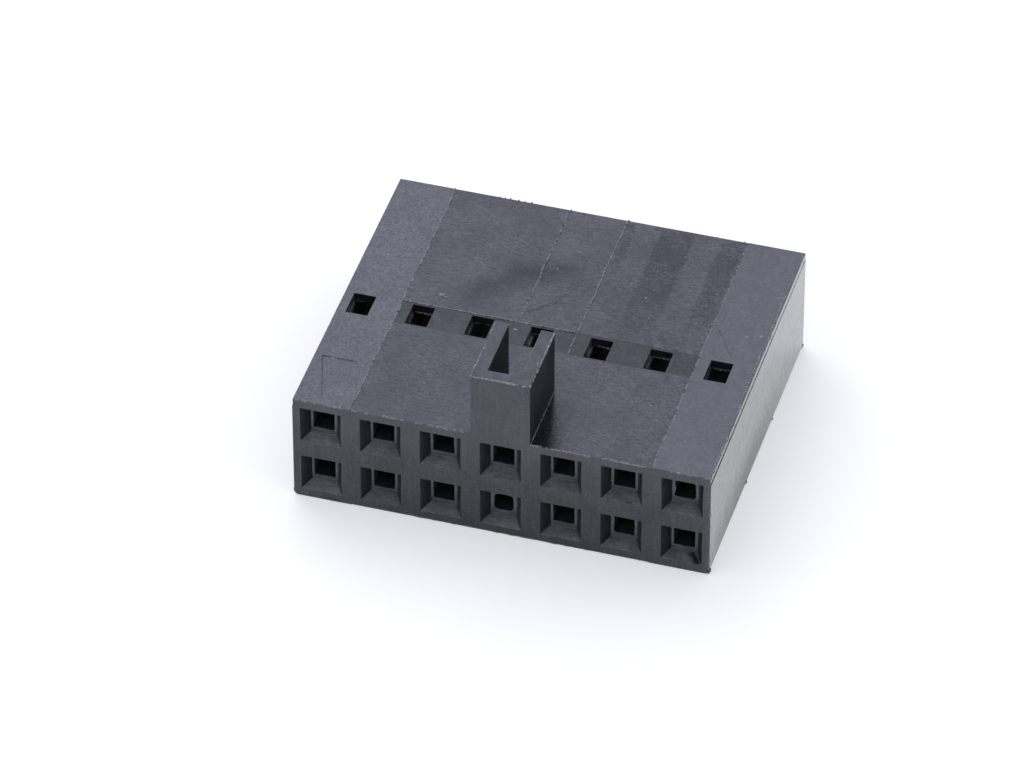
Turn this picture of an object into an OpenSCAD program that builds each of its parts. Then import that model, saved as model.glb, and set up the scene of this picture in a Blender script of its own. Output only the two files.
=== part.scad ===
// Two-row crimp connector housing: one moulding with the mating face to the front (-Y),
// the wire face to the back (+Y) and the polarising key on top (+Z). All sizes are in millimetres.

/* [Contact grid] */
// Contact columns along the row
columns = 7; // [4:1:20]
// Contact spacing, along the row and between the two rows
pitch = 2.54; // [2.4:0.01:4]

/* [Body] */
// Depth from the mating face to the wire face
body_d = 15; // [12:0.1:24]
// Plastic past the last contact axis at each end of the row
end_margin = 1.19; // [1.15:0.01:2]
// Plastic past the contact axes, above and below
face_margin = 1.27; // [1.2:0.01:2]
// Radius of the two lower long edges
edge_r = 0.2; // [0.05:0.01:0.3]
// Height of the cap above the parting line on the end walls
cap_h = 0.35; // [0.1:0.01:0.6]
// Step at the parting line, by which the cap is narrower on each side
cap_step = 0.06; // [0.02:0.01:0.12]

/* [Mating face] */
// Width of a square pin mouth
mouth_w = 1.75; // [1.4:0.01:2]
// Width of the flat floor at the end of the mouth's taper
mouth_floor_w = 1.1; // [1:0.01:1.35]
// Height of that floor
mouth_floor_h = 1.37; // [1:0.01:1.38]
// Depth of the mouth's taper
mouth_depth = 0.53; // [0.2:0.01:0.9]
// Width of the square pin hole in the mouth's floor
pin_hole_w = 0.89; // [0.7:0.01:0.95]
// Thickness of the front wall, from the mating face to the terminal cavities
front_wall = 1.2; // [1:0.01:2.5]

/* [Terminal cavities] */
// Width of a square terminal cavity
cavity_w = 1.75; // [1.6:0.01:2]
// Width of the square wire entry where it opens in the wire face
entry_w = 2; // [1.8:0.01:2.15]
// Depth of the wire entry's lead-in taper
entry_depth = 0.4; // [0.1:0.01:1]

/* [Latch windows] */
// Width of a latch window, along the row
window_w = 0.95; // [0.6:0.01:1.1]
// Length of a latch window, front to back
window_l = 1.27; // [0.8:0.01:2]
// Distance from the mating face to the window's front edge
window_y = 5.92; // [4.5:0.01:8]
// Sideways distance of a window from its contact axis
window_offset = 0.3; // [0:0.01:0.35]

/* [Panel and band] */
// Depth of the wide panel between the two end strips
panel_depth = 0.03; // [0.01:0.01:0.06]
// Depth of the band across the panel that holds the inner windows, from the end strips down
band_depth = 0.07; // [0.04:0.01:0.15]
// Width of the band in front of the windows
band_front = 0.06; // [0.02:0.01:0.5]
// Width of the band behind the windows
band_back = 0.13; // [0.02:0.01:0.5]

/* [Key] */
// Width of the polarising key, along the row
key_w = 2.5; // [1.5:0.01:4]
// Height of the key above the top face
key_h = 3.03; // [1:0.01:5]
// Length of the key, back from the mating face
key_l = 3.58; // [1.5:0.01:4]
// Thickness of the key's side walls
key_side = 0.57; // [0.3:0.01:0.7]
// Thickness of the key's front wall
key_front = 0.56; // [0.3:0.01:1.2]

/* [Pin one mark] */
// Width of the triangle's base
mark_w = 1.5; // [0.6:0.01:1.7]
// Length of the triangle, from its base to its tip
mark_l = 2.5; // [1:0.01:3.2]
// Distance from the mating face to the triangle's tip
mark_y = 0.5; // [0.2:0.01:1]
// Depth of the mark below the top face
mark_depth = 0.06; // [0.03:0.01:0.15]
// Sideways distance of the mark from the first contact axis, towards the end of the row
mark_offset = 0.08; // [0:0.01:0.15]

/* [Hidden] */
$fn = 48;
// Number of contact rows
rows = 2;
// Extra length by which a cutter passes through a face
over = 1;
first_x = -(columns - 1) / 2 * pitch;
body_w = 2 * (end_margin - first_x);
body_h = pitch + 2 * face_margin;
mid_z = body_h / 2;
upper_z = mid_z + pitch / 2;
// The panel ends midway between the end columns and their neighbours
panel_w = (columns - 2) * pitch;
plastic = "#2a2b2e";

// Places its children on every contact axis, at the mating face
module each_contact() {
    for (column = [0 : columns - 1], row = [0 : rows - 1])
        translate([first_x + column * pitch, 0, upper_z - row * pitch])
            children();
}

// Section of the body across the row: rounded lower corners, and a narrower cap above the parting line
module body_section() {
    translate([-body_w / 2, edge_r])
        square([body_w, body_h - cap_h - edge_r]);
    translate([-body_w / 2 + edge_r, 0])
        square([body_w - 2 * edge_r, edge_r]);
    for (side = [-1, 1])
        translate([side * (body_w / 2 - edge_r), edge_r])
            circle(r = edge_r);
    translate([-body_w / 2 + cap_step, body_h - cap_h])
        square([body_w - 2 * cap_step, cap_h]);
}

// Solid body, before any hole is cut
module body_block() {
    translate([0, body_d, 0])
        rotate([90, 0, 0])
            linear_extrude(height = body_d)
                body_section();
}

// Key, U-shaped in plan: a front wall flush with the mating face, two side walls, open at the back
module key() {
    translate([0, 0, body_h - cap_h])
        linear_extrude(height = cap_h + key_h)
            difference() {
                translate([-key_w / 2, 0])
                    square([key_w, key_l]);
                translate([-key_w / 2 + key_side, key_front])
                    square([key_w - 2 * key_side, key_l]);
            }
}

// Wedge-shaped outline of one tapered opening, wide at y = 0 and carried past that face at the same slope
module taper_outline(wide, narrow, depth) {
    flare = (wide - narrow) / 2 / depth;
    polygon([
        [-wide / 2 - flare * over, -over],
        [wide / 2 + flare * over, -over],
        [narrow / 2, depth],
        [-narrow / 2, depth],
    ]);
}

// Four-sided tapered opening, square at y = 0, as the common part of two crossed wedges
module taper(wide, narrow_w, narrow_h, depth) {
    reach = wide + (wide - min(narrow_w, narrow_h)) / depth * over;
    intersection() {
        linear_extrude(height = reach, center = true)
            taper_outline(wide, narrow_w, depth);
        rotate([0, 90, 0])
            linear_extrude(height = reach, center = true)
                taper_outline(wide, narrow_h, depth);
    }
}

// Square channel along Y between two distances from the mating face
module square_channel(width, from, to) {
    translate([-width / 2, from, -width / 2])
        cube([width, to - from, width]);
}

// Everything that one contact passes through: mouth, pin hole, terminal cavity and wire entry
module contact_passage() {
    taper(mouth_w, mouth_floor_w, mouth_floor_h, mouth_depth);
    square_channel(pin_hole_w, 0, front_wall + over);
    square_channel(cavity_w, front_wall, body_d + over);
    translate([0, body_d, 0])
        mirror([0, 1, 0])
            taper(entry_w, cavity_w, cavity_w, entry_depth);
}

// Latch windows of the upper row, each from its cavity out through the top face
module latch_windows() {
    for (column = [0 : columns - 1])
        translate([first_x + column * pitch - window_offset - window_w / 2, window_y, upper_z])
            cube([window_w, window_l, face_margin + over]);
}

// Shallow panel in the top face, from the mating face to the wire face
module panel() {
    translate([-panel_w / 2, -over, body_h - panel_depth])
        cube([panel_w, body_d + 2 * over, panel_depth + over]);
}

// Band across the panel that holds every window but the two at the ends
module relief_band() {
    translate([-panel_w / 2, window_y - band_front, body_h - band_depth])
        cube([panel_w, band_front + window_l + band_back, band_depth + over]);
}

// Cuts of one latch face
module latch_face() {
    latch_windows();
    relief_band();
}

// Triangle sunk in the top face over the first contact, with its tip towards the mating face
module pin_one_mark() {
    translate([first_x - mark_offset, mark_y, body_h - mark_depth])
        linear_extrude(height = mark_depth + over)
            polygon([[0, 0], [mark_w / 2, mark_l], [-mark_w / 2, mark_l]]);
}

// The lower row is the upper one turned half round about the middle of the body
module turned_over() {
    translate([0, 0, mid_z])
        rotate([0, 180, 0])
            translate([0, 0, -mid_z])
                children();
}

module housing() {
    color(plastic)
        translate([0, -body_d / 2, 0])
            difference() {
                union() {
                    difference() {
                        body_block();
                        panel();
                        turned_over() panel();
                    }
                    key();
                }
                each_contact() contact_passage();
                latch_face();
                turned_over() latch_face();
                pin_one_mark();
            }
}

housing();
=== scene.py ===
import math
import random

import bmesh
import bpy
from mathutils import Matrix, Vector, noise


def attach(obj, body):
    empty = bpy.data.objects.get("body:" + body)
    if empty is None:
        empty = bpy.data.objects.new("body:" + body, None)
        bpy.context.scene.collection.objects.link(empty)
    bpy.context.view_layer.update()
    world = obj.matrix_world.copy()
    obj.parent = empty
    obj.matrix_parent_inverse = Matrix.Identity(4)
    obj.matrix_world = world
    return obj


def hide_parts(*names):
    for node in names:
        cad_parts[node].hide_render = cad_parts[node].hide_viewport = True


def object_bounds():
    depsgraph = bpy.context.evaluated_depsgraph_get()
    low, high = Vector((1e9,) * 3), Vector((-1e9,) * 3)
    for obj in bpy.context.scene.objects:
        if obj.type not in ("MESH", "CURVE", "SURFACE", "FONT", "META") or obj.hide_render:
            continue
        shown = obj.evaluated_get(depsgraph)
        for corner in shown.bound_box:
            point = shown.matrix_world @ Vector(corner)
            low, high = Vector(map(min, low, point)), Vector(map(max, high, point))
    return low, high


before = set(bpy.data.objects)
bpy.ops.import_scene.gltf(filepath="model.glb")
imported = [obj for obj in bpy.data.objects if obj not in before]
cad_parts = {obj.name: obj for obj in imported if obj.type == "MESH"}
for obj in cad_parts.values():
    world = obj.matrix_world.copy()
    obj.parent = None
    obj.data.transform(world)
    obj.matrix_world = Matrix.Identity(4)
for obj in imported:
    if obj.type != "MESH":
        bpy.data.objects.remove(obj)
cadLow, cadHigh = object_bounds()
scene = bpy.context.scene
scene.view_settings.view_transform = "Standard"
mm = 0.001  # every place and size below is in millimetres, and becomes metres here
up = Vector((0, 0, 1))

# Landmarks of the housing, in the CAD's frame: X along the row, Y from the mating face back, Z up
halfWidth = cadHigh.x / mm
halfDepth = cadHigh.y / mm
marks = {
    "pitch": 2.54,
    "columns": 7,
    "stripTop": 5.08,  # top of the two end strips
    "panelTop": 5.05,  # top of the wide panel between them
    "bandTop": 5.01,  # floor of the band with the inner windows
    "panelHalf": 6.35,  # the panel ends at this distance from the middle
    "bandFront": -1.64,
    "bandBack": -0.18,
    "partingHeight": 4.73,
    "keyHalf": 1.25,
    "keyBack": -3.92,
    "markX": -7.7,
    "markBack": -4.5,  # base of the triangle over the first contact
    "keyTop": 8.11,
    "upperRow": 3.81,
    "lowerRow": 1.27,
    "mouthFloor": -6.97,
    "mouthDepth": 0.53,
    "pinHoleHalf": 0.445,
    "frontWall": 1.2,
    "cavityTop": 4.685,
    "cavityReach": 2.15,  # the cavities end at this height above and below the middle
}
fineSteps = {  # steps that look finer in the photograph than the solid has them
    "solidCap": 0.06,  # how far the solid's cap above the parting line is set back
    "cap": 0.026,  # at the mating face
    "capBack": 0.014,  # at the wire face
    "panel": 0.01,  # how far the panel lies below the strips
    "band": 0.006,  # how far the band lies below the panel
}
stripTop = marks["stripTop"]
panelLevel = stripTop - fineSteps["panel"]
bandLevel = panelLevel - fineSteps["band"]
print("frame loaded:", len(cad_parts), "node,", round(2 * halfWidth, 2), "mm wide")


# Small helpers for shader trees

def addNode(tree, kind, **settings):
    node = tree.nodes.new(kind)
    for name, value in settings.items():
        setattr(node, name, value)
    return node


def feed(tree, value, socket):
    # A number or a colour is set on the socket, and anything else is linked to it
    if isinstance(value, (int, float)):
        socket.default_value = value
    elif isinstance(value, tuple):
        socket.default_value = (*value, 1)
    else:
        tree.links.new(value, socket)


def mathNode(tree, operation, first, second=0.0, clamp=False):
    node = addNode(tree, "ShaderNodeMath", operation=operation, use_clamp=clamp)
    feed(tree, first, node.inputs[0])
    feed(tree, second, node.inputs[1])
    return node.outputs[0]


def times(tree, first, second):
    return mathNode(tree, "MULTIPLY", first, second)


def vectorMath(tree, operation, first, second=None):
    node = addNode(tree, "ShaderNodeVectorMath", operation=operation)
    feed(tree, first, node.inputs[0])
    if second is not None:
        feed(tree, second, node.inputs[1])
    single = operation in ("DOT_PRODUCT", "LENGTH", "DISTANCE")
    return node.outputs["Value" if single else "Vector"]


def scaledVector(tree, vector, factor):
    node = addNode(tree, "ShaderNodeVectorMath", operation="SCALE")
    feed(tree, vector, node.inputs[0])
    feed(tree, factor, node.inputs["Scale"])
    return node.outputs["Vector"]


def stretched(tree, value, fromLow, fromHigh, toLow=0.0, toHigh=1.0, kind="SMOOTHSTEP"):
    node = addNode(tree, "ShaderNodeMapRange", interpolation_type=kind)
    for socket, number in zip(node.inputs, (value, fromLow, fromHigh, toLow, toHigh)):
        feed(tree, number, socket)
    return node.outputs[0]


def fading(tree, value, start, end):
    return stretched(tree, value, start, end, 1.0, 0.0)


def newGroup(name, inputs, output):
    group = bpy.data.node_groups.new(name, "ShaderNodeTree")
    for label, value in inputs.items():
        kind = "NodeSocketVector" if isinstance(value, tuple) else "NodeSocketFloat"
        socket = group.interface.new_socket(name=label, in_out="INPUT", socket_type=kind)
        socket.default_value = value
    group.interface.new_socket(name=output, in_out="OUTPUT", socket_type="NodeSocketFloat")
    given = group.nodes.new("NodeGroupInput")
    result = group.nodes.new("NodeGroupOutput")
    return group, given.outputs, result.inputs[output]


def millimetreCoords(tree):
    coords = addNode(tree, "ShaderNodeTexCoord")
    return scaledVector(tree, coords.outputs["Object"], 1 / mm)


def noiseOn(tree, vector, scale, detail=2.0, roughness=0.5):
    node = addNode(tree, "ShaderNodeTexNoise", noise_dimensions="3D")
    node.inputs["Detail"].default_value = detail
    node.inputs["Roughness"].default_value = roughness
    feed(tree, scale, node.inputs["Scale"])
    feed(tree, vector, node.inputs["Vector"])
    return node.outputs["Fac"]


# Node groups that several finishes share

# Scales are waves in each millimetre, and a spread is the stretch of a noise that becomes nothing to all
groupLook = {
    "fineSpread": (0.28, 0.72),
    "smudgeSpread": (0.35, 0.65),
    "bendScale": 0.45,
    "patchScale": 2.2,
    "arcScale": 1.4,
    "mottleScale": 4.5,
    "mottle": (0.3, 0.65, 0.55, 1.0),  # a spread, and the least and most that it becomes
    "scratchScale": 6.0,
    "scratchWidth": (0.3, 0.7, 0.35, 1.0),
    "speckRadius": (0.05, 0.16),  # smallest and largest, in spacings
    "detail": 3.0,  # of the rougher noises
    "middle": 0.5,  # mean of a noise
}


def makeBrushMarks():
    # Fine marks of a ground tool face: long in one direction, thin across it, and slightly wavy
    inputs = {"Length X": 1.0, "Length Y": 0.05, "Length Z": 0.05, "Waviness": 0.05}
    group, given, result = newGroup("brushMarks", inputs, "Marks")
    coords = millimetreCoords(group)
    bend = noiseOn(group, coords, groupLook["bendScale"], detail=1.0)
    bend = times(group, bend, given["Waviness"])
    shifted = vectorMath(group, "ADD", coords, bend)
    lengths = addNode(group, "ShaderNodeCombineXYZ")
    for axis in "XYZ":
        feed(group, given["Length " + axis], lengths.inputs[axis])
    divided = vectorMath(group, "DIVIDE", shifted, lengths.outputs[0])
    fine = noiseOn(group, divided, 1.0, roughness=0.6)
    feed(group, stretched(group, fine, *groupLook["fineSpread"]), result)
    return group


def makeMouldGrain():
    # Fine sparked texture of a mould surface, the same in every direction
    group, given, result = newGroup("mouldGrain", {"Size": 0.1}, "Grain")
    scale = mathNode(group, "DIVIDE", 1.0, given["Size"])
    grain = noiseOn(group, millimetreCoords(group), scale, roughness=0.55)
    feed(group, stretched(group, grain, *groupLook["fineSpread"]), result)
    return group


def makeSmudges():
    # Broad soft unevenness, as left by handling and by the flow of the plastic
    group, given, result = newGroup("smudges", {"Size": 3.0}, "Smudge")
    scale = mathNode(group, "DIVIDE", 1.0, given["Size"])
    smudge = noiseOn(group, millimetreCoords(group), scale, groupLook["detail"])
    feed(group, stretched(group, smudge, *groupLook["smudgeSpread"]), result)
    return group


def raggedness(group, coords, scale):
    uneven = noiseOn(group, coords, scale, groupLook["detail"])
    return mathNode(group, "SUBTRACT", uneven, groupLook["middle"])


def makeSmoothPatch():
    # One patch around a place, in millimetres, with its own softness along each axis
    inputs = {"Centre": (0, 0, 0), "Half Size": (1, 1, 1), "Softness": (0.1, 0.1, 1), "Raggedness": 0.1}
    group, given, result = newGroup("smoothPatch", inputs, "Patch")
    coords = millimetreCoords(group)
    away = vectorMath(group, "ABSOLUTE", vectorMath(group, "SUBTRACT", coords, given["Centre"]))
    beyond = vectorMath(group, "SUBTRACT", away, given["Half Size"])
    ragged = raggedness(group, coords, groupLook["patchScale"])
    ragged = times(group, ragged, given["Raggedness"])
    share = vectorMath(group, "DIVIDE", vectorMath(group, "ADD", beyond, ragged), given["Softness"])
    parts = addNode(group, "ShaderNodeSeparateXYZ")
    feed(group, share, parts.inputs[0])
    patch = 1.0
    for axis in "XYZ":
        patch = times(group, patch, fading(group, parts.outputs[axis], -1.0, 1.0))
    feed(group, patch, result)
    return group


def makeArcSmudge():
    # A curved soft smear, as a fingertip leaves it: a ring around a centre, strongest in the ring's middle
    inputs = {"Centre": (0, 0, 0), "Radius": 3.0, "Half Width": 0.5}
    group, given, result = newGroup("arcSmudge", inputs, "Smear")
    coords = millimetreCoords(group)
    distance = vectorMath(group, "LENGTH", vectorMath(group, "SUBTRACT", coords, given["Centre"]))
    offset = mathNode(group, "SUBTRACT", distance, given["Radius"])
    offset = mathNode(group, "ADD", offset, raggedness(group, coords, groupLook["arcScale"]))
    smear = fading(group, mathNode(group, "ABSOLUTE", offset), 0.0, given["Half Width"])
    mottle = noiseOn(group, coords, groupLook["mottleScale"], groupLook["detail"])
    mottle = stretched(group, mottle, *groupLook["mottle"])
    feed(group, times(group, smear, mottle), result)
    return group


def makeScratch():
    # One straight scratch of a given length from a place
    inputs = {"Start": (0, 0, 0), "Along": (1, 0, 0), "Length": 1.0, "Half Width": 0.03}
    group, given, result = newGroup("scratch", inputs, "Line")
    coords = millimetreCoords(group)
    away = vectorMath(group, "SUBTRACT", coords, given["Start"])
    travel = vectorMath(group, "DOT_PRODUCT", away, given["Along"])
    travel = mathNode(group, "MAXIMUM", travel, 0.0)
    travel = mathNode(group, "MINIMUM", travel, given["Length"])
    nearest = scaledVector(group, given["Along"], travel)
    distance = vectorMath(group, "DISTANCE", away, nearest)
    uneven = noiseOn(group, coords, groupLook["scratchScale"])
    uneven = stretched(group, uneven, *groupLook["scratchWidth"])
    width = times(group, given["Half Width"], uneven)
    feed(group, fading(group, distance, 0.0, width), result)
    return group


def makeSpecks():
    # Sparse tiny light specks: dust and nicks
    group, given, result = newGroup("specks", {"Spacing": 0.5, "Share": 0.2}, "Specks")
    cells = addNode(group, "ShaderNodeTexVoronoi", feature="F1")
    feed(group, mathNode(group, "DIVIDE", 1.0, given["Spacing"]), cells.inputs["Scale"])
    feed(group, millimetreCoords(group), cells.inputs["Vector"])
    chance = addNode(group, "ShaderNodeSeparateXYZ")
    feed(group, cells.outputs["Color"], chance.inputs[0])
    chosen = mathNode(group, "LESS_THAN", chance.outputs["X"], given["Share"])
    radius = stretched(group, chance.outputs["Y"], 0.0, 1.0, *groupLook["speckRadius"])
    close = fading(group, cells.outputs["Distance"], 0.0, radius)
    feed(group, times(group, close, chosen), result)
    return group


shared = {
    "brush": makeBrushMarks(),
    "grain": makeMouldGrain(),
    "smudge": makeSmudges(),
    "patch": makeSmoothPatch(),
    "arc": makeArcSmudge(),
    "scratch": makeScratch(),
    "specks": makeSpecks(),
}
print("node groups made:", len(shared))


# Finishes of the black plastic

plastic = {
    "ior": 1.58,
    "black": (0.0046, 0.0082, 0.0128),  # untouched, glossy
    "grey": (0.227, 0.223, 0.254),  # rubbed or sparked all over, and the pale of painted light on some finishes
    "dust": (0.34, 0.34, 0.37),
}


def startFinish(name, ior=1.5):
    material = bpy.data.materials.new(name)
    material.use_nodes = True
    tree = material.node_tree
    shader = tree.nodes["Principled BSDF"]
    shader.inputs["IOR"].default_value = ior
    return material, tree, shader


def place(tree, group, **values):
    node = addNode(tree, "ShaderNodeGroup", node_tree=shared[group])
    for name, value in values.items():
        node.inputs[name.replace("_", " ")].default_value = value
    return node.outputs[0]


def blendColours(tree, share, first, second):
    node = addNode(tree, "ShaderNodeMix", data_type="RGBA")
    feed(tree, share, node.inputs["Factor"])
    colourInputs = [socket for socket in node.inputs if socket.type == "RGBA"]
    for socket, colour in zip(colourInputs, (first, second)):
        feed(tree, colour, socket)
    return [socket for socket in node.outputs if socket.type == "RGBA"][0]


def addBump(tree, shader, height, depth):
    bump = addNode(tree, "ShaderNodeBump")
    bump.inputs["Strength"].default_value = 1.0
    bump.inputs["Distance"].default_value = depth * mm
    feed(tree, height, bump.inputs["Height"])
    feed(tree, bump.outputs["Normal"], shader.inputs["Normal"])


def rubbedAndPaintedLightShare(tree, look):
    # How much pale grey the surface has, from rubbing and on some finishes from painted light: streaks and
    # grain, broken up by smudges
    lengths = dict(zip(("Length_X", "Length_Y", "Length_Z"), look["streak"]))
    streaks = times(tree, place(tree, "brush", **lengths), 1 - look["grainShare"])
    grain = times(tree, place(tree, "grain", Size=look["grainSize"]), look["grainShare"])
    texture = mathNode(tree, "ADD", streaks, grain)
    smudge = place(tree, "smudge", Size=look["smudgeSize"])
    smudge = stretched(tree, smudge, 0.0, 1.0, 1 - look["smudgeDepth"], 1.0)
    rubbedAndPaintedLight = stretched(tree, texture, 0.0, 1.0, *look["rubbedAndPaintedLight"], "LINEAR")
    return times(tree, rubbedAndPaintedLight, smudge), texture


def lessRubbed(tree, rubbedAndPaintedLight, mask, share):
    return times(tree, rubbedAndPaintedLight, stretched(tree, mask, 0.0, 1.0, 1.0, 1 - share, "LINEAR"))


def addShare(tree, total, mask, amount):
    return mathNode(tree, "ADD", total, times(tree, mask, amount))


def placePatch(tree, centre, half, softness):
    return place(tree, "patch", Centre=centre, Half_Size=half, Softness=softness)


def makeFinish(name, look):
    material, tree, shader = startFinish(name, look["ior"])
    rubbedAndPaintedLight, texture = rubbedAndPaintedLightShare(tree, look)
    dull = 0.0
    for *spread, amount in look["patches"]:
        less = times(tree, placePatch(tree, *spread), amount)
        rubbedAndPaintedLight = mathNode(tree, "SUBTRACT", rubbedAndPaintedLight, less, clamp=True)
    for *spread, amount in look["dullPatches"]:
        dull = addShare(tree, dull, placePatch(tree, *spread), amount)
    for centre, radius, halfWide, reach, share in look["smears"]:
        ring = place(tree, "arc", Centre=centre, Radius=radius, Half_Width=halfWide)
        smear = times(tree, ring, placePatch(tree, *reach))
        rubbedAndPaintedLight = lessRubbed(tree, rubbedAndPaintedLight, smear, share)
        dull = addShare(tree, dull, smear, look["smearDullness"])
    for start, end, halfWide, share, depth in look["scratches"]:
        along = Vector(end) - Vector(start)
        course = {"Start": start, "Along": along.normalized(), "Length": along.length}
        line = place(tree, "scratch", Half_Width=halfWide, **course)
        rubbedAndPaintedLight = lessRubbed(tree, rubbedAndPaintedLight, line, share)
        texture = addShare(tree, texture, line, -depth)
    spacing, speckShare = look["specks"]
    specks = place(tree, "specks", Spacing=spacing, Share=speckShare)
    colour = blendColours(tree, rubbedAndPaintedLight, plastic["black"], plastic["grey"])
    feed(tree, blendColours(tree, specks, colour, plastic["dust"]), shader.inputs["Base Color"])
    roughness = stretched(tree, texture, 0.0, 1.0, *look["roughness"], "LINEAR")
    feed(tree, mathNode(tree, "ADD", roughness, dull), shader.inputs["Roughness"])
    addBump(tree, shader, texture, look["textureDepth"])
    return material


def onPanel(centre, half, softness, *amount):
    # A patch of the panel, from its X and Y alone
    deep = 1
    return (*centre, panelLevel), (*half, deep), (*softness, deep), *amount


# In each look: streak lengths along X, Y and Z, sizes, and the least and most pale grey, which is rubbing and
# on some finishes painted light
# A patch has its centre, half size, softness and how much less pale grey it has; below nothing it has more.
# Some patches paint shade, a reflection or a highlight, and say so where they stand
# A dull patch has its centre, half size, softness and how much rougher it is
# A smear has its centre, radius, half width, the patch that it stays in, and how much of the rubbing it hides
# A scratch has its start, its end, half its width, that share, and its depth in depths of the texture
# A share below nothing makes a scratch paler
plainLook = {  # what a look has where it says nothing else
    "streak": (0.15, 0.15, 0.5),
    "grainSize": 0.1,
    "grainShare": 0.5,
    "rubbedAndPaintedLight": (0.0, 0.03),
    "smudgeSize": 1.0,
    "smudgeDepth": 0.5,
    "roughness": (0.36, 0.44),
    "textureDepth": 0.002,
    "specks": (0.4, 0.2),
    "ior": plastic["ior"],
    "patches": [],
    "dullPatches": [],
    "smears": [],
    "scratches": [],
}
panelLook = plainLook | {
    "streak": (0.4, 0.1, 0.1),
    "grainShare": 0.45,
    "rubbedAndPaintedLight": (0.0, 0.34),
    "smudgeSize": 1.6,
    "smudgeDepth": 0.4,
    "roughness": (0.29, 0.13),
    "textureDepth": 0.004,
    "patches": [
        onPanel((3.38, 4.0), (0.72, 3.3), (0.07, 1.6), 0.075),
        onPanel((3.38, 5.9), (0.72, 1.7), (0.07, 0.3), 0.03),
        onPanel((4.7, 4.6), (0.52, 2.9), (0.08, 1.2), -0.06),
        onPanel((0.1, 2.4), (1.0, 1.1), (0.5, 0.8), 0.05),
        onPanel((0.0, 6.1), (1.2, 1.4), (0.5, 0.8), -0.03),
        onPanel((5.75, 4.9), (0.46, 2.6), (0.06, 1.4), 0.08),
        onPanel((1.45, 5.6), (0.16, 1.7), (0.08, 0.5), 0.08),
        onPanel((4.0, 2.0), (2.3, 2.1), (0.5, 0.3), 0.025),
        # Dark beside the key's right side: the key's painted reflection and shade on the panel
        onPanel((1.8, -6.2), (0.6, 1.5), (0.15, 0.5), 0.16),
        onPanel((-2.1, 3.1), (0.45, 0.2), (0.7, 0.55), 0.15),
        onPanel((-0.3, 3.65), (0.4, 0.1), (0.4, 0.4), 0.12),
        onPanel((-4.2, -4.5), (1.8, 1.8), (0.8, 0.8), 0.02),
        onPanel((4.3, -4.5), (1.5, 1.8), (0.8, 0.8), -0.02),
    ],
    "dullPatches": [
        onPanel((3.38, 5.2), (0.72, 2.3), (0.07, 0.8), 0.07),
        onPanel((-2.1, 3.05), (0.3, 0.15), (0.7, 0.5), 0.1),
        onPanel((-0.3, 3.65), (0.3, 0.1), (0.4, 0.4), 0.1),
    ],
    "smears": [
        ((0.69, -1.28, panelLevel), 4.85, 1.3, onPanel((-2.3, 2.3), (1.9, 1.9), (0.7, 1.0)), 1.0),
    ],
    "smearDullness": 0.16,
    "scratches": [
        ((-1.21, 0.53, panelLevel), (-0.09, 1.64, panelLevel), 0.05, 1.0, 3),
        ((-1.13, 0.47, panelLevel), (-0.02, 1.58, panelLevel), 0.035, -1.2, 3),
        ((-1.2, 0.95, panelLevel), (-0.95, 1.1, panelLevel), 0.03, 0.8, 3),
    ],
}
leftStripLook = plainLook | {
    "streak": (0.2, 0.25, 0.2),
    "grainSize": 0.11,
    "grainShare": 0.7,
    "rubbedAndPaintedLight": (0.2, 0.74),
    "smudgeSize": 1.5,
    "smudgeDepth": 0.12,
    "roughness": (0.33, 0.45),
    "textureDepth": 0.007,
    "specks": (0.5, 0.15),
}
rightStripLook = plainLook | {
    "streak": (0.25, 0.5, 0.2),
    "grainSize": 0.12,
    "grainShare": 0.6,
    "rubbedAndPaintedLight": (0.31, 0.59),
    "smudgeSize": 2.5,
    "smudgeDepth": 0.1,
    "roughness": (0.32, 0.42),
    "specks": (0.6, 0.1),
    "scratches": [
        ((6.45, 1.95, stripTop), (7.62, 0.06, stripTop), 0.06, 0.35, 6),
        ((8.3, 4.2, stripTop), (8.65, 4.38, stripTop), 0.06, -0.7, 2),
    ],
}
bandLook = plainLook | {
    "streak": (0.4, 0.4, 0.2),
    "grainSize": 0.18,
    "rubbedAndPaintedLight": (-0.03, 0.07),
    "smudgeSize": 1.2,
    "smudgeDepth": 0.6,
    "roughness": (0.36, 0.2),
    "textureDepth": 0.003,
    "specks": (0.5, 0.2),
}
faceLook = plainLook | {
    "streak": (0.15, 0.15, 1.2),
    "grainSize": 0.09,
    "grainShare": 0.6,
    "rubbedAndPaintedLight": (0.07, 0.235),
    "smudgeSize": 1.6,
    "smudgeDepth": 0.3,
    "roughness": (0.46, 0.36),
    "ior": 1.4,
    "patches": [
        # Darker towards the bottom: painted shade, the floor's contact shadow mirrored in the face
        ((0, -7.5, 0.2), (4.5, 1, 0.6), (2.5, 1, 1.2), 0.115),
        ((0, -7.5, 7.5), (9, 1, 3.8), (1, 1, 1.5), -0.135),
        # Paler along the right end: a painted highlight of the rounded upright edge
        ((8.72, -7.5, 2.5), (0.12, 1, 2.4), (0.12, 1, 0.4), -0.1),
    ],
    "scratches": [
        ((6.06, -7.5, 3.78), (6.16, -7.5, 3.62), 0.045, -1.5, 12),
        ((6.2, -7.5, 3.74), (6.3, -7.5, 3.56), 0.045, -1.5, 12),
        ((6.12, -7.5, 3.6), (6.22, -7.5, 3.7), 0.04, 1.0, 12),
    ],
}
keySideLook = plainLook | {
    "streak": (0.12, 0.12, 1.5),
    "rubbedAndPaintedLight": (0.0, 0.12),
    "roughness": (0.34, 0.42),
    "specks": (0.3, 0.25),
}
keyTopLook = plainLook | {
    "streak": (0.2, 0.3, 0.2),
    "rubbedAndPaintedLight": (0.08, 0.42),
    "smudgeSize": 0.8,
    "smudgeDepth": 0.4,
    "roughness": (0.3, 0.38),
    "textureDepth": 0.004,
    "specks": (0.35, 0.25),
}
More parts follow.
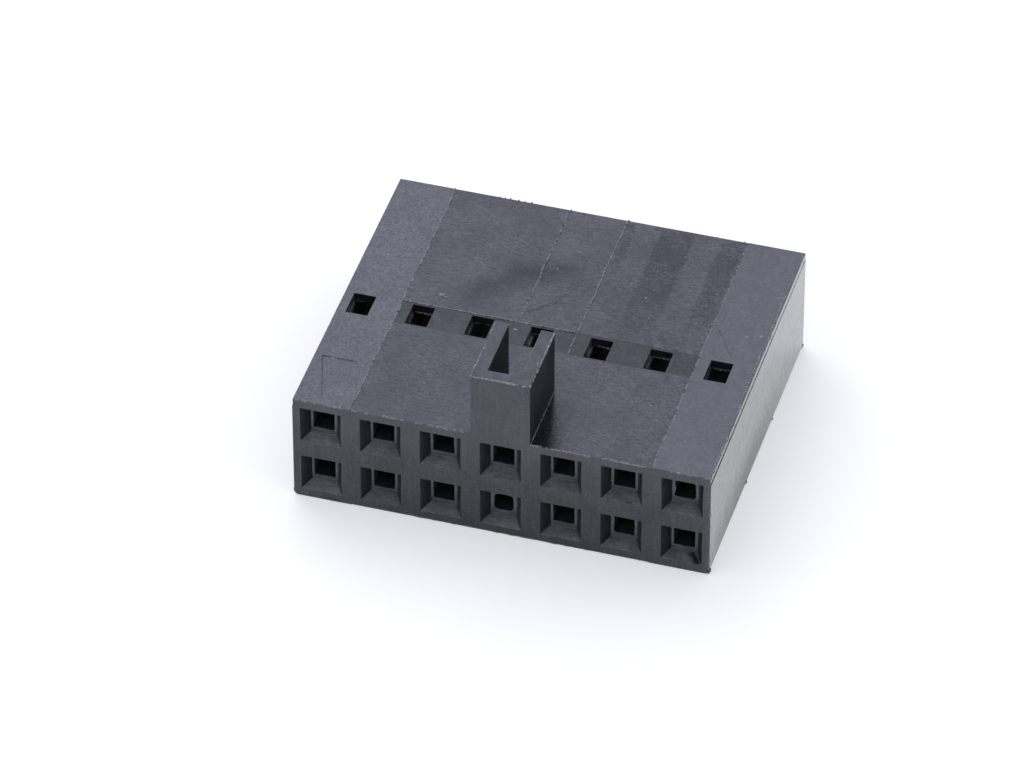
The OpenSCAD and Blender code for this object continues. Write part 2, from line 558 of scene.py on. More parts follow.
windowLook = plainLook | {
    "smudgeSize": 0.6,
    "smudgeDepth": 0.4,
    "textureDepth": 0.003,
    "specks": (0.4, 0.15),
}
windowSidePaintedLightLook = windowLook | {  # the left wall, which faces the light; its pale grey is painted light
    "rubbedAndPaintedLight": (0.2, 0.7),
    "smudgeSize": 0.5,
    "smudgeDepth": 0.6,
}
edgeLook = plainLook | {
    "streak": (0.15, 0.15, 0.15),
    "grainSize": 0.08,
    "grainShare": 0.6,
    "rubbedAndPaintedLight": (0.15, 0.7),
    "smudgeSize": 0.6,
    "textureDepth": 0.006,
    "specks": (0.3, 0.3),
}
rampLook = plainLook | {
    "streak": (0.1, 0.1, 1.5),
    "grainShare": 0.4,
    "rubbedAndPaintedLight": (0.0, 0.05),
    "smudgeSize": 0.8,
    "roughness": (0.26, 0.34),
    "specks": (0.5, 0.1),
}
# The lips are paler than the face: rubbed, and painted light on these upward ramps inside the mouths
lipWithPaintedLightLook = plainLook | {
    "streak": (0.35, 0.12, 0.12),
    "grainSize": 0.09,
    "rubbedAndPaintedLight": (0.43, 0.9),
    "smudgeSize": 0.7,
    "smudgeDepth": 0.25,
    "roughness": (0.42, 0.5),
    "textureDepth": 0.004,
    "specks": (0.3, 0.25),
    "patches": [
        # Darker along the crease at the back of each lip: painted shade
        ((0, -6.97, 2.54), (9, 0.08, 3), (1, 0.16, 1), 0.1),
        ((-7.9, -7.2, 2.54), (1.0, 1, 3), (2.0, 1, 1), -0.14),
        ((6.0, -7.2, 2.54), (3.0, 1, 3), (3.0, 1, 1), 0.06),
    ],
    "scratches": [
        ((7.98, -7.05, 0.55), (8.3, -7.4, 0.42), 0.32, 1.0, 3),
        ((7.6, -7.05, 0.5), (7.75, -7.38, 0.42), 0.3, -0.35, 4),
    ],
}
ledgeLook = edgeLook | {
    "rubbedAndPaintedLight": (0.1, 0.4),
    "smudgeSize": 0.5,
    "smudgeDepth": 0.4,
    "roughness": (0.4, 0.48),
    "textureDepth": 0.003,
    "specks": (0.3, 0.2),
}
wallLook = plainLook | {
    "streak": (0.3, 0.35, 0.6),
    "grainSize": 0.2,
    "rubbedAndPaintedLight": (0.0, 0.2),
    "smudgeSize": 1.5,
    "roughness": (0.1, 0.24),
    "textureDepth": 0.0035,
    "specks": (0.6, 0.1),
    "ior": 1.64,
    # Paler towards the back: a painted reflection of the brighter floor behind the part
    "patches": [((0, 7.5, 2.5), (10, 2.5, 3), (1, 3, 1), -0.17)],
    "dullPatches": [((0, -2, 0.3), (10, 5, 1.3), (1, 6, 1.2), 0.2)],
    "scratches": [
        ((8.81, -3.25, 3.52), (8.81, -3.15, 3.42), 0.07, 1.0, 10),
        ((8.81, -5.1, 2.3), (8.81, -4.95, 2.42), 0.06, 1.0, 8),
        ((8.81, -7.2, 4.45), (8.81, -7.12, 4.55), 0.06, 1.0, 8),
    ],
}
pinHoleLook = plainLook | {
    "streak": (0.2, 0.5, 0.2),
    "grainSize": 0.15,
    "rubbedAndPaintedLight": (0.02, 0.12),
    "roughness": (0.5, 0.6),
    "specks": (0.6, 0.05),
}
# The cavities' inner walls are pale grey: painted light, as if lit through the windows
cavityPaintedLightLook = pinHoleLook | {
    "streak": (0.2, 2.0, 0.2),
    "rubbedAndPaintedLight": (0.35, 0.9),
    "roughness": (0.4, 0.5),
    "specks": (0.6, 0.1),
}
finishLooks = {
    "panel": ("rubbed_panel_with_painted_reflection", panelLook),
    "leftStrip": ("sparked_strip", leftStripLook),
    "rightStrip": ("satin_strip", rightStripLook),
    "band": ("smooth_band", bandLook),
    "face": ("moulded_face", faceLook),
    "keySide": ("key_side", keySideLook),
    "keyTop": ("key_top", keyTopLook),
    "window": ("window_wall", windowLook),
    "windowSide": ("window_side_painted_light", windowSidePaintedLightLook),
    "ramp": ("mouth_ramp", rampLook),
    "lip": ("mouth_lip_with_painted_light", lipWithPaintedLightLook),
    "ledge": ("mouth_ledge", ledgeLook),
    "wall": ("end_wall", wallLook),
    "pinHole": ("pin_hole", pinHoleLook),
    "cavity": ("cavity_wall_painted_light", cavityPaintedLightLook),
    "edge": ("worn_edge", edgeLook),
}
finishes = {kind: makeFinish(name, look) for kind, (name, look) in finishLooks.items()}
print("finishes made:", len(finishes))


# The moulding: a copy of the CAD node with its edges rounded and its faces given their finishes

edgeRounds = {  # radius-like bevel widths
    "frontTop": 0.022,
    "frontSide": 0.028,  # the sides and the lower edge
    "backTop": 0.09,
    "backSide": 0.05,
    "longTop": 0.05,
    "parting": 0.01,
    "keyEdge": 0.035,
    "keyFoot": 0.05,
    "mouthRim": 0.03,
    "pinHoleRim": 0.02,
    "wireEntry": 0.05,
    "fineStep": 0.003,
    "bandStep": 0.002,
    "mark": 0.026,
    "windowFoot": 0.03,
    "none": 0,
}
roundSegments = 3
sharpAngle = math.radians(25)  # edges of the solid that are turned by more than this may be rounded
flatAngle = math.radians(0.5)  # faces that are turned by less than this become one
weldDistance = 0.0001
near = 0.02  # places closer than this count as the same
edgeZone = 0.1  # how far in from the outside an edge still belongs to it
wallZone = 0.3
facing = 0.9  # a face looks along an axis when its normal has more than this of it
sloping = 0.3


def isTop(spot):
    return marks["bandTop"] - near < spot.z < stripTop + near


def inBand(spot):
    return marks["bandFront"] < spot.y < marks["bandBack"]


def edgeRound(middle):
    side = abs(middle.x) > halfWidth - edgeZone
    bottom = middle.z < edgeZone
    top = isTop(middle)
    if middle.z > stripTop + near:
        return "keyEdge"
    if middle.y < near - halfDepth:
        if top:
            return "frontTop"
        return "frontSide" if side or bottom else "mouthRim"
    if middle.y > halfDepth - near:
        if top:
            return "backTop"
        return "backSide" if side or bottom else "wireEntry"
    if side:
        return "longTop" if top else "parting"
    if top and abs(middle.x) < marks["keyHalf"] + near and middle.y < marks["keyBack"] + near:
        return "keyFoot"
    if top and middle.x < -marks["panelHalf"] - near and middle.y < marks["markBack"] + near:
        hidden = middle.x > marks["markX"] + near and middle.y < marks["markBack"] - near
        return "fineStep" if hidden else "mark"
    if top and min(abs(middle.y - marks["bandFront"]), abs(middle.y - marks["bandBack"])) < near:
        return "bandStep"
    if top or bottom:
        return "fineStep"
    if inBand(middle) and abs(middle.z - marks["cavityTop"]) < near:
        return "windowFoot"
    column = middle.x / marks["pitch"]
    sideways = abs(column - round(column)) * marks["pitch"]
    atFloor = abs(middle.y - marks["mouthFloor"]) < near
    return "pinHoleRim" if atFloor and sideways < marks["pinHoleHalf"] + near else "none"


def faceFinish(centre, normal):
    flat = abs(normal.z) > facing
    if flat and isTop(centre) and normal.z > 0:
        if abs(centre.x) > marks["panelHalf"]:
            return "leftStrip" if centre.x < 0 else "rightStrip"
        return "band" if marks["panelTop"] - centre.z > near else "panel"
    if flat and centre.z < edgeZone and normal.z < 0:
        return "rightStrip" if abs(centre.x) > marks["panelHalf"] else "band"
    if centre.z > stripTop + near:
        if flat:
            return "keyTop"
        return "face" if normal.y < -facing else "keySide"
    if abs(centre.x) > halfWidth - wallZone:
        return "edge" if flat and normal.z > 0 else "wall"
    depth = halfDepth - abs(centre.y)
    if isTop(centre) and depth > near:
        return "edge"
    if inBand(centre) and abs(centre.z - stripTop / 2) > marks["cavityReach"]:
        return "windowSide" if normal.x > facing else "window"
    if near < depth < marks["mouthDepth"] + near:
        if centre.y < 0 and abs(normal.y) > facing:
            return "ledge"
        return "lip" if centre.y < 0 and normal.z > sloping else "ramp"
    inside = depth > marks["mouthDepth"] and edgeZone < centre.z < marks["bandTop"] - near
    if inside and centre.y < 0 and depth < marks["frontWall"]:
        return "pinHole"
    return "cavity" if inside else "face"


def roundingFinish(centre, normal):
    # On top of the key, along the front edge and at the windows' feet roundings are rubbed pale
    # The others look as the faces beside them
    front = centre.y < -halfDepth + edgeRounds["frontTop"]
    windowFoot = abs(centre.z - marks["cavityTop"]) < edgeRounds["windowFoot"]
    keyRim = centre.z > marks["keyTop"] - edgeRounds["keyEdge"]
    if keyRim or (isTop(centre) and front) or (windowFoot and inBand(centre)):
        return "edge"
    inward = abs(centre.x) < halfWidth - edgeZone and centre.y < halfDepth - edgeRounds["backTop"]
    return faceFinish(centre, up if isTop(centre) and inward else normal)


def keepFlat(mesh, rounding):
    # Flat faces keep their own normals, and each rounding turns from one to the next
    flats = [[] for vertex in mesh.vertices]
    blends = [Vector() for vertex in mesh.vertices]
    for face in mesh.polygons:
        for vertex in face.vertices:
            if face.material_index == rounding:
                blends[vertex] += face.normal
            else:
                flats[vertex].append(face.normal.copy())
    normals = []
    for face in mesh.polygons:
        for vertex in face.vertices:
            if face.material_index != rounding:
                normals.append(face.normal)
            elif flats[vertex]:
                normals.append(max(flats[vertex], key=face.normal.dot))
            else:
                normals.append(blends[vertex].normalized())
    mesh.normals_split_custom_set(normals)


def refineSteps(shape):
    # Brings the steps of the cap, the panel and the band to their finer sizes
    capSide = halfWidth - fineSteps["solidCap"]
    for vertex in shape.verts:
        spot = vertex.co / mm
        if abs(abs(spot.x) - capSide) < near and spot.z > marks["partingHeight"] - near:
            step = fineSteps["cap" if spot.y < 0 else "capBack"]
            vertex.co.x = math.copysign(halfWidth - step, spot.x) * mm
        if abs(spot.z - marks["bandTop"]) < near / 2:
            vertex.co.z = bandLevel * mm
        if abs(spot.z - marks["panelTop"]) < near / 2:
            vertex.co.z = panelLevel * mm


def makeMoulding():
    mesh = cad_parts["housing"].data.copy()
    shape = bmesh.new()
    shape.from_mesh(mesh)
    bmesh.ops.remove_doubles(shape, verts=shape.verts, dist=weldDistance * mm)
    bmesh.ops.dissolve_limit(shape, angle_limit=flatAngle, verts=shape.verts, edges=shape.edges)
    shape.normal_update()
    weights = shape.edges.layers.float.new("bevel_weight_edge")
    widest = max(edgeRounds.values())
    for edge in shape.edges:
        middle = (edge.verts[0].co + edge.verts[1].co) / 2 / mm
        if edge.calc_face_angle(0) > sharpAngle:
            edge[weights] = edgeRounds[edgeRound(middle)] / widest
    order = list(finishes)
    for face in shape.faces:
        face.smooth = True
        face.material_index = order.index(faceFinish(face.calc_center_median() / mm, face.normal))
    mesh.materials.clear()
    for name in order:
        mesh.materials.append(finishes[name])
    rounding = len(order)
    mesh.materials.append(None)  # an empty slot that tells the roundings from the faces
    refineSteps(shape)
    shape.to_mesh(mesh)
    shape.free()
    moulding = bpy.data.objects.new("housing_moulding", mesh)
    scene.collection.objects.link(moulding)
    bevel = moulding.modifiers.new("rounded_edges", "BEVEL")
    bevel.limit_method = "WEIGHT"
    bevel.width = widest * mm
    bevel.segments = roundSegments
    bevel.use_clamp_overlap = False
    bevel.material = rounding
    rounded = bpy.data.meshes.new_from_object(moulding.evaluated_get(bpy.context.evaluated_depsgraph_get()))
    rounded.name = "housing_moulding"
    moulding.modifiers.clear()
    moulding.data = rounded
    keepFlat(rounded, rounding)
    for face in rounded.polygons:
        if face.material_index == rounding:
            face.material_index = order.index(roundingFinish(face.center / mm, face.normal))
    rounded.materials.pop(index=rounding)
    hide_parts("housing")
    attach(moulding, "root")
    return moulding


moulding = makeMoulding()
print("moulding:", len(moulding.data.polygons), "faces")


# Moulding flash: thin uneven ridges of plastic that stand along tool joints and edges

flashLook = {
    "bright": (0.37, 0.372, 0.4),
    "pale": (0.3, 0.302, 0.33),
    "dark": (0.07, 0.07, 0.075),
    "grainSize": 0.06,
    "roughness": (0.42, 0.56),
    "crest": 0.5,  # width of a ridge's crest, in widths of its root
    "lowSide": 0.85,  # height of the crest's one side, in heights of the other
    "driftSeed": 9,  # keeps a ridge's wander apart from its swell
}


def makeFlashFinish(name, colour):
    material, tree, shader = startFinish(name, plastic["ior"])
    grain = place(tree, "grain", Size=flashLook["grainSize"])
    feed(tree, blendColours(tree, grain, plastic["black"], colour), shader.inputs["Base Color"])
    feed(tree, stretched(tree, grain, 0.0, 1.0, *flashLook["roughness"]), shader.inputs["Roughness"])
    return material


brightFlash = makeFlashFinish("rim_flash", flashLook["bright"])
paleFlash = makeFlashFinish("torn_flash", flashLook["pale"])
darkFlash = makeFlashFinish("edge_burr", flashLook["dark"])


def addRun(shape, stations, outward, across, sink):
    # One unbroken ridge: a ring of four points at each station, closed at both ends
    rings = []
    for centre, halfWide, height in stations:
        root = across * halfWide
        crest = root * flashLook["crest"]
        ring = [
            centre - root - outward * sink,
            centre - crest + outward * height * flashLook["lowSide"],
            centre + crest + outward * height,
            centre + root - outward * sink,
        ]
        rings.append([shape.verts.new(point * mm) for point in ring])
    for first, second in zip(rings, rings[1:]):
        for corner in range(4):
            following = (corner + 1) % 4
            shape.faces.new((first[corner], first[following], second[following], second[corner]))
    shape.faces.new(reversed(rings[0]))
    shape.faces.new(rings[-1])


def addRidge(shape, start, end, outward, look):
    # A straight line of flash whose height comes and goes, and which is missing where the height is too small
    start = Vector(start)
    along = Vector(end) - start
    length = along.length
    along.normalize()
    outward = Vector(outward).normalized()
    across = along.cross(outward)
    count = int(length / look["step"])
    run = []
    for number in range(count + 1):
        spot = start + along * length * number / count
        swell = noise.noise(spot / look["swell"])
        rough = noise.noise(spot / look["rough"])
        height = look["height"] * (look["cover"] + swell + look["roughShare"] * rough)
        if height > look["least"] and number < count:
            drift = noise.noise(spot / look["swell"] + up * flashLook["driftSeed"])
            run.append((spot + across * drift * look["wander"], look["width"] / 2 * (1 + rough), height))
            continue
        if len(run) > 1:
            addRun(shape, run, outward, across, look["sink"])
        run = []


def ridgeAcross(shape, left, right, y, z, look, outward=up):
    addRidge(shape, (left, y, z), (right, y, z), outward, look)


def ridgeBack(shape, x, front, back, z, look, outward=up):
    addRidge(shape, (x, front, z), (x, back, z), outward, look)


def makePiece(name, fill, material):
    shape = bmesh.new()
    fill(shape)
    bmesh.ops.recalc_face_normals(shape, faces=shape.faces)
    mesh = bpy.data.meshes.new(name)
    shape.to_mesh(mesh)
    shape.free()
    mesh.materials.append(material)
    piece = bpy.data.objects.new(name, mesh)
    scene.collection.objects.link(piece)
    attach(piece, "root")
    return piece


# A ridge's look: height, the least that is kept, cover of the line, how it comes and goes, and shape
witnessLook = {
    "height": 0.045,
    "least": 0.004,
    "cover": 0.8,
    "swell": 0.55,
    "rough": 0.13,
    "roughShare": 1.2,
    "width": 0.09,
    "step": 0.05,
    "wander": 0.045,
    "sink": 0.012,
}
faintLook = witnessLook | {"cover": 0.3}
borderLook = witnessLook | {"height": 0.022, "least": 0.002, "cover": 0.42}  # beside the strips
bandLineLook = witnessLook | {
    "height": 0.022,
    "least": 0.003,
    "cover": 0.9,
    "swell": 0.6,
    "rough": 0.16,
    "roughShare": 0.6,
    "width": 0.085,
    "wander": 0.012,
    "sink": 0.02,
}
jointPlaces = {
    "left": -1.37,  # joint line left of the key
    "right": 1.13,  # joint line right of it
    "leftFrom": 1.5,  # the left line is fainter in front of this
    "bandTo": 1.1,  # right end of the line along the band
}


def addWitnessLines(shape):
    # Joint lines of the tool's inserts, along the depth of the top and along the back of the band
    places = jointPlaces
    edge = marks["panelHalf"]
    lines = [
        (places["left"], places["leftFrom"], halfDepth, panelLevel, witnessLook),
        (places["left"], marks["bandBack"], places["leftFrom"], panelLevel, faintLook),
        (places["right"], marks["bandBack"], halfDepth, panelLevel, witnessLook),
        (places["right"], marks["bandFront"], marks["bandBack"], bandLevel, witnessLook),
        (-edge, -halfDepth, halfDepth, stripTop, borderLook),
        (edge, -halfDepth, halfDepth, stripTop, borderLook),
    ]
    for x, front, back, z, look in lines:
        ridgeBack(shape, x, front + near, back - near, z, look)
    ridgeAcross(shape, -edge, places["bandTo"], marks["bandBack"], panelLevel, bandLineLook)


edgeFlashLook = {
    "height": 0.06,
    "least": 0.008,
    "cover": 0.38,
    "swell": 0.8,
    "rough": 0.15,
    "roughShare": 1.1,
    "width": 0.065,
    "step": 0.04,
    "wander": 0.02,
    "sink": 0.015,
    "inset": 0.015,  # distance of the flash's middle from the edge
}
footLook = edgeFlashLook | {"height": 0.03, "cover": 0.8, "roughShare": 0.3, "width": 0.045}
uprightLook = edgeFlashLook | {"cover": 0.1}
longEdgeLook = edgeFlashLook | {
    "height": 0.016,
    "least": 0.0016,
    "cover": 0.3,
    "width": 0.11,
    "wander": 0.09,
    "inset": 0.09,
}
keyRimLook = edgeFlashLook | {
    "height": 0.04,
    "least": 0.004,
    "cover": 0.75,
    "swell": 0.7,
    "rough": 0.1,
    "roughShare": 0.7,
    "width": 0.08,
    "wander": 0.012,
    "sink": 0.02,
}
leftRimLook = keyRimLook | {"cover": 0.45}


def addKeyRims(shape):
    # Flash on the key's front and side edges
    inset = keyRimLook["inset"]
    side = marks["keyHalf"] - inset
    front = -halfDepth + inset
    back = marks["keyBack"]
    z = marks["keyTop"] - edgeRounds["keyEdge"] / 2
    ridgeAcross(shape, -side, side, front, z, keyRimLook)
    ridgeBack(shape, side, front, back, z, keyRimLook)
    ridgeBack(shape, -side, front, back, z, leftRimLook)


def addEdgeFlash(shape):
    # Flash on the top's front edge, on the right upright and long edges and along the key's right foot
    inset = edgeFlashLook["inset"]
    front = -halfDepth + inset
    side = halfWidth - inset
    keyX = marks["keyHalf"]
    edges = [
        (-side, -marks["panelHalf"], stripTop),
        (-marks["panelHalf"], -keyX, panelLevel),
        (keyX, marks["panelHalf"], panelLevel),
        (marks["panelHalf"], side, stripTop),
    ]
    for left, right, z in edges:
        ridgeAcross(shape, left, right, front, z, edgeFlashLook)
    start = (side, front, uprightLook["width"])
    end = (side, front, marks["partingHeight"])
    addRidge(shape, start, end, (1, -1, 0), uprightLook)
    longInset = longEdgeLook["inset"]
    ridgeBack(shape, halfWidth - longInset, -halfDepth, halfDepth - longInset, stripTop, longEdgeLook)
    ridgeBack(shape, keyX + inset, front, marks["keyBack"], panelLevel + inset, footLook)


nubLook = {
    "roughness": 0.35,  # share of the size by which a nub is uneven
    "lumps": 2.3,
    "divisions": 3,
    "backDrop": 0.03,  # how far a nub's middle lies in from the back edge and below it
    "backStretch": (0.6, 1, 0.8),
    "backBurrs": [  # X and size
        (-6.4, 0.045),
        (-4.45, 0.045),
        (-4.2, 0.04),
        (-3.98, 0.055),
        (-3.62, 0.055),
        (-3.35, 0.045),
        (-3.05, 0.06),
        (-1.33, 0.05),
        (1.18, 0.055),
        (4.97, 0.035),
        (6.18, 0.05),
    ],
    "cornerStretch": (0.7, 0.6, 1.3),
    "corners": [
        ((-8.78, -7.45, 0.24), 0.085),
        ((8.77, -7.44, 0.2), 0.11),
        ((-1.24, -7.46, 8.05), 0.05),
        ((0.94, -7.5, 7.75), 0.04),
        ((-1.29, -7.47, 5.03), 0.045),
    ],
}


def addNub(shape, spot, size, stretch):
    # A small uneven bit of plastic
    made = bmesh.ops.create_icosphere(shape, subdivisions=nubLook["divisions"], radius=1)
    for vertex in made["verts"]:
        uneven = 1 + nubLook["roughness"] * noise.noise(vertex.co * nubLook["lumps"] + Vector(spot))
        vertex.co = (Vector(spot) + vertex.co * Vector(stretch) * size * uneven) * mm


def addNubs(shape):
    drop = nubLook["backDrop"]
    for x, size in nubLook["backBurrs"]:
        addNub(shape, (x, halfDepth - drop, panelLevel - drop), size, nubLook["backStretch"])
    for spot, size in nubLook["corners"]:
        addNub(shape, spot, size, nubLook["cornerStretch"])


burrLook = {
    "height": 0.05,
    "least": 0.01,
    "cover": 0.35,
    "swell": 1.6,
    "rough": 0.3,
    "roughShare": 0.3,
    "width": 0.1,
    "step": 0.05,
    "wander": 0.02,
    "sink": 0.03,
    "rise": 0.08,  # height of the burr's root above the underside
}
leftBurrLook = burrLook | {"cover": 0.12, "rise": 0.16, "inset": 0.06, "tilt": -0.3}
rightBurrLook = leftBurrLook | {"cover": 0.4}
burrBits = {
    "places": [(-7.42, 0.14), (-1.65, 0.08), (2.52, 0.07), (7.44, 0.09)],  # Y and size, at the right
    "inset": 0.03,
    "rise": 1.18,  # height of a bit's middle, in sizes of the bit
    "stretch": (0.6, 1, 1),
}


def addBottomBurrs(shape):
    # Burrs on the lower edges, where the two halves of the tool met
    side = halfWidth - edgeRounds["frontSide"]
    front = -halfDepth + edgeRounds["frontSide"]
    ridgeAcross(shape, -side, side, front, burrLook["rise"], burrLook, (0, -1, 0))
    for sign, look in ((-1, leftBurrLook), (1, rightBurrLook)):
        x = sign * (halfWidth - look["inset"])
        ridgeBack(shape, x, -halfDepth, halfDepth, look["rise"], look, (sign, 0, look["tilt"]))
    for y, size in burrBits["places"]:
        spot = (halfWidth - burrBits["inset"], y, burrBits["rise"] * size)
        addNub(shape, spot, size, burrBits["stretch"])


def contactX(column):
    return (column - (marks["columns"] - 1) / 2) * marks["pitch"]


windowFlashLook = {
    "height": 0.075,
    "least": 0.004,
    "cover": 0.55,
    "swell": 0.5,
    "rough": 0.1,
    "roughShare": 0.7,
    "width": 0.05,
    "step": 0.03,
    "wander": 0.01,
    "sink": 0.012,
    "left": -0.7,  # ends of the flash at the foot of a window's back wall, from the contact's axis
    "right": 0.15,
    "back": -0.31,
    "outward": (0, -0.4, -1),
}
# The pale ridge on each cavity's left wall under a window: its pale colour is a painted lit streak
paintedStreakLook = windowFlashLook | {
    "height": 0.12,
    "cover": 1.0,
    "swell": 3.0,
    "roughShare": 0.1,
    "width": 0.3,
    "wall": -0.875,  # the cavity's left wall, from the contact's axis
    "front": -0.85,
    "back": 0.3,
    "level": 4.4,
}


def addWindowFlashAndPaintedStreaks(shape):
    # Flash at the foot of each window's back wall, and a pale ridge on the cavity wall below, whose pale
    # colour is a painted lit streak
    look = windowFlashLook
    streak = paintedStreakLook
    foot = marks["cavityTop"] + look["sink"]
    for column in range(marks["columns"]):
        axis = contactX(column)
        left = axis + look["left"]
        right = axis + look["right"]
        ridgeAcross(shape, left, right, look["back"], foot, look, look["outward"])
        wall = axis + streak["wall"]
        ridgeBack(shape, wall, streak["front"], streak["back"], streak["level"], streak, (1, 0, 0))


holeFlashLook = {
    "half": 0.449,  # half width of the ragged opening
    "ragged": 0.014,
    "squareness": (13, 24),
    "points": 64,
    "lift": 0.004,
    "thickness": 0.03,
    "ragScale": 4,
    "ragShift": 3,  # keeps the rims from being alike
    "odd": {  # column and row; half width, squareness and raggedness
        (3, 0): (0.41, 5, 1.5),
        (5, 0): (0.43, 9, 3.5),
        (6, 1): (0.43, 9, 3.5),
    },
    "seed": 5,
}


def addHoleRing(shape, centre, half, squareness, raggedness):
    # A thin frame around a pin hole: square outside, ragged and a little round inside
    look = holeFlashLook
    rings = [[], [], []]
    outer = marks["pinHoleHalf"] + look["thickness"]
    for number in range(look["points"]):
        angle = 2 * math.pi * number / look["points"]
        cosine, sine = math.cos(angle), math.sin(angle)
        x = math.copysign(abs(cosine) ** (2 / squareness), cosine)
        z = math.copysign(abs(sine) ** (2 / squareness), sine)
        spot = Vector((x, z, 0)) * look["ragScale"] + centre * look["ragShift"]
        uneven = look["ragged"] * noise.noise(spot)
        inner = half + uneven * raggedness
        square = outer / max(abs(x), abs(z))
        front = -look["lift"] * (1 + uneven / look["ragged"])
        section = ((square, look["lift"]), (inner, front), (inner, look["thickness"]))
        for ring, (reach, depth) in zip(rings, section):
            ring.append(shape.verts.new((centre + Vector((x * reach, depth, z * reach))) * mm))
    for first, second in zip(rings, rings[1:]):
        for number in range(look["points"]):
            following = (number + 1) % look["points"]
            shape.faces.new((first[number], first[following], second[following], second[number]))


def addHoleFlash(shape):
    # Ragged rims of the pin holes
    look = holeFlashLook
    luck = random.Random(look["seed"])
    for row, height in enumerate((marks["lowerRow"], marks["upperRow"])):
        for column in range(marks["columns"]):
            squareness = luck.uniform(*look["squareness"])
            half, squareness, raggedness = look["odd"].get((column, row), (look["half"], squareness, 1))
            centre = Vector((contactX(column), marks["mouthFloor"], height))
            addHoleRing(shape, centre, half, squareness, raggedness)


dustLook = {
    "spots": [  # X, distance from the mating face, size
        (-4.93, 8.09, 0.11),
        (-4.73, 7.97, 0.07),
        (-4.95, 7.84, 0.05),
        (-1.33, 13.95, 0.07),
        (-1.33, 9.25, 0.05),
        (1.16, 14.1, 0.05),
        (6.22, 12.7, 0.05),
        (-1.38, 6.8, 0.075),
        (-0.1, 3.25, 0.03),
        (5.97, 4.9, 0.035),
        (5.26, 3.74, 0.03),
        (-3.4, 3.9, 0.03),
        (-4.55, 6.5, 0.045),
        (4.4, 12.6, 0.03),
        (-5.2, 12.2, 0.03),
    ],
    "stretch": (1.2, 0.9, 0.3),
}


def addDust(shape):
    # Specks that lie flat on the top
    for x, fromFront, size in dustLook["spots"]:
        spot = Vector((x, fromFront - halfDepth, panelLevel))
        if inBand(spot):
            spot.z = bandLevel
        addNub(shape, spot, size, dustLook["stretch"])


pieces = {
    "witness_lines": (addWitnessLines, paleFlash),
    "key_rims": (addKeyRims, brightFlash),
    "edge_flash": (addEdgeFlash, paleFlash),
    "bottom_burrs": (addBottomBurrs, darkFlash),
    "window_flash_and_painted_streaks": (addWindowFlashAndPaintedStreaks, brightFlash),
    "corner_nubs": (addNubs, finishes["edge"]),
    "hole_flash": (addHoleFlash, finishes["ledge"]),
    "dust_specks": (addDust, brightFlash),
}
for name, (fill, material) in pieces.items():
    piece = makePiece(name, fill, material)
    print(name, len(piece.data.polygons), "faces")


# Floor, light and camera

floorLook = {
    "size": 4000,
    "colour": (0.8, 0.795, 0.753),
    "glow": 0.385,  # as the camera sees it
    "mirrorGlow": 0.68,  # as glossy surfaces mirror it
    "glowColour": (0.95, 0.955, 1.0),
}


def makeFloor():
    half = floorLook["size"] / 2 * mm
    mesh = bpy.data.meshes.new("floor")
    corners = [(-half, -half, 0), (half, -half, 0), (half, half, 0), (-half, half, 0)]
    mesh.from_pydata(corners, [], [range(len(corners))])
    floor = bpy.data.objects.new("floor", mesh)
    scene.collection.objects.link(floor)
    material, tree, shader = startFinish("white_floor")
    feed(tree, floorLook["colour"], shader.inputs["Base Color"])
    shader.inputs["Roughness"].default_value = 1.0
    shader.inputs["Specular IOR Level"].default_value = 0.0
    path = addNode(tree, "ShaderNodeLightPath")
    mirrored = mathNode(tree, "MAXIMUM", path.outputs["Is Glossy Ray"], path.outputs["Is Transmission Ray"])
    mirrored = times(tree, mirrored, floorLook["mirrorGlow"])
    seen = times(tree, path.outputs["Is Camera Ray"], floorLook["glow"])
    feed(tree, floorLook["glowColour"], shader.inputs["Emission Color"])
    feed(tree, mathNode(tree, "ADD", seen, mirrored), shader.inputs["Emission Strength"])
    material.cycles.emission_sampling = "NONE"  # the glow is only seen, and lights nothing
    mesh.materials.append(material)
    return floor


worldLook = {
    "ambient": (0.77, 0.785, 0.875),  # what lights matt surfaces, the same from all around
    "horizon": (1, 1, 1),  # what glossy surfaces mirror
    "ceiling": (0.15, 0.15, 0.16),
    "ceilingFrom": 0.12,
    "ceilingTo": 0.5,
}


def makeWorld():
    world = bpy.data.worlds.new("studio")
    scene.world = world
    world.use_nodes = True
    tree = world.node_tree
    background = tree.nodes["Background"]
    direction = addNode(tree, "ShaderNodeSeparateXYZ")
    feed(tree, addNode(tree, "ShaderNodeTexCoord").outputs["Generated"], direction.inputs[0])
    height = stretched(tree, direction.outputs["Z"], worldLook["ceilingFrom"], worldLook["ceilingTo"])
    sky = blendColours(tree, height, worldLook["horizon"], worldLook["ceiling"])
    path = addNode(tree, "ShaderNodeLightPath")
    seen = mathNode(tree, "MAXIMUM", path.outputs["Is Camera Ray"], path.outputs["Is Glossy Ray"])
    seen = mathNode(tree, "MAXIMUM", seen, path.outputs["Is Transmission Ray"])
    feed(tree, blendColours(tree, seen, worldLook["ambient"], sky), background.inputs["Color"])
    world.cycles.sampling_method = "NONE"  # so that each ray finds the sky of its own kind


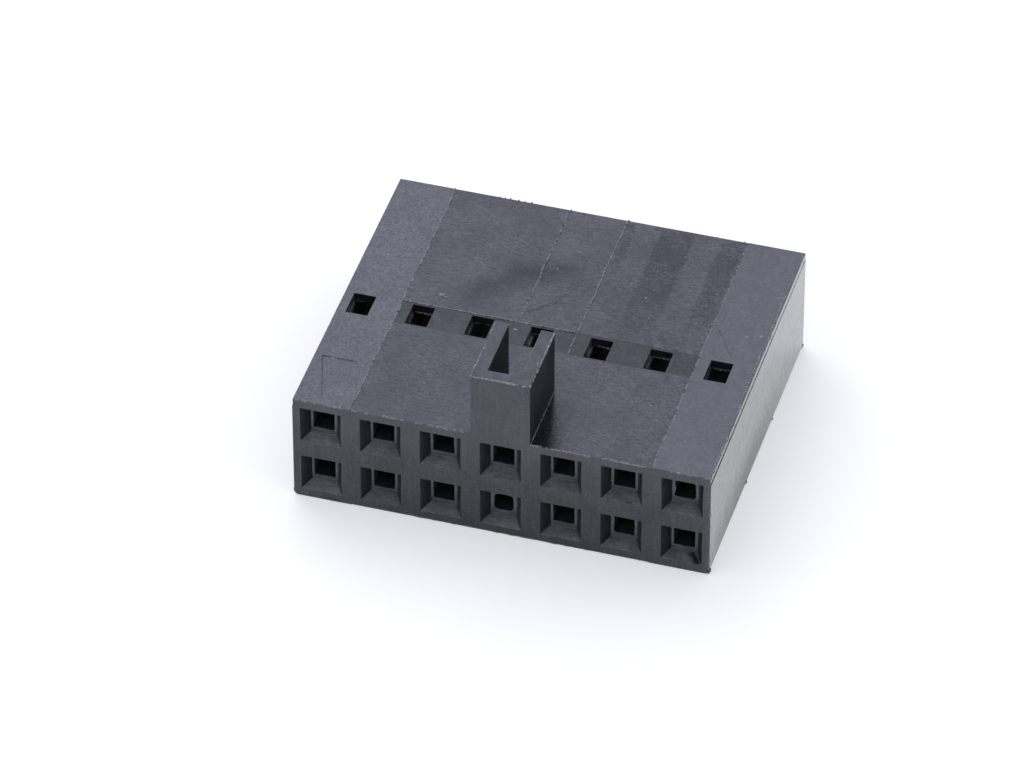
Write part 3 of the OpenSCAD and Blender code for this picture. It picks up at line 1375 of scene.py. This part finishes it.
def towards(azimuth, elevation):
    # The way out from the part, with the azimuth from straight in front and positive to the right
    turn = math.radians(azimuth)
    rise = math.radians(elevation)
    level = math.cos(rise)
    return Vector((level * math.sin(turn), -level * math.cos(turn), math.sin(rise)))


lampLook = {
    "azimuth": -144,
    "elevation": 40,
    "distance": 400,
    "width": 300,
    "height": 360,
    "brightness": 1.46,
    "colour": (0.815, 0.828, 0.995),
}


def makeLamp():
    look = lampLook
    light = bpy.data.lights.new("back_softbox", "AREA")
    light.shape = "RECTANGLE"
    light.size = look["width"] * mm
    light.size_y = look["height"] * mm
    light.energy = look["brightness"] * math.pi * light.size * light.size_y
    light.color = look["colour"]
    lamp = bpy.data.objects.new("back_softbox", light)
    lamp.location = towards(look["azimuth"], look["elevation"]) * look["distance"] * mm
    target = up * marks["panelTop"] * mm
    lamp.rotation_mode = "QUATERNION"
    lamp.rotation_quaternion = (target - lamp.location).to_track_quat("-Z", "Y")
    scene.collection.objects.link(lamp)


cameraLook = {
    "azimuth": 16.45,
    "elevation": 40.2,
    "distance": 300,
    "pixelsPerMm": 24.274,
    "aim": (0, 0, 3.0),
    "aimPixel": (551.9, 363.8),  # where the aim is seen in the photograph
    "imageSize": (1024, 768),
    "sensor": 36,
    "clip": (10, 10000),
}


def makeCamera():
    look = cameraLook
    back = towards(look["azimuth"], look["elevation"])
    right = up.cross(back).normalized()
    above = back.cross(right)
    wide, high = look["imageSize"]
    across = (look["aimPixel"][0] - wide / 2) / look["pixelsPerMm"]
    down = (look["aimPixel"][1] - high / 2) / look["pixelsPerMm"]
    data = bpy.data.cameras.new("photo_camera")
    data.sensor_width = look["sensor"]
    data.lens = look["pixelsPerMm"] * look["distance"] / wide * look["sensor"]
    data.clip_start, data.clip_end = (limit * mm for limit in look["clip"])
    camera = bpy.data.objects.new("photo_camera", data)
    camera.location = (Vector(look["aim"]) + back * look["distance"] - right * across + above * down) * mm
    camera.rotation_mode = "QUATERNION"
    camera.rotation_quaternion = (-back).to_track_quat("-Z", "Y")
    scene.collection.objects.link(camera)
    scene.camera = camera


makeFloor()
makeWorld()
makeLamp()
makeCamera()
print("floor, light and camera set")
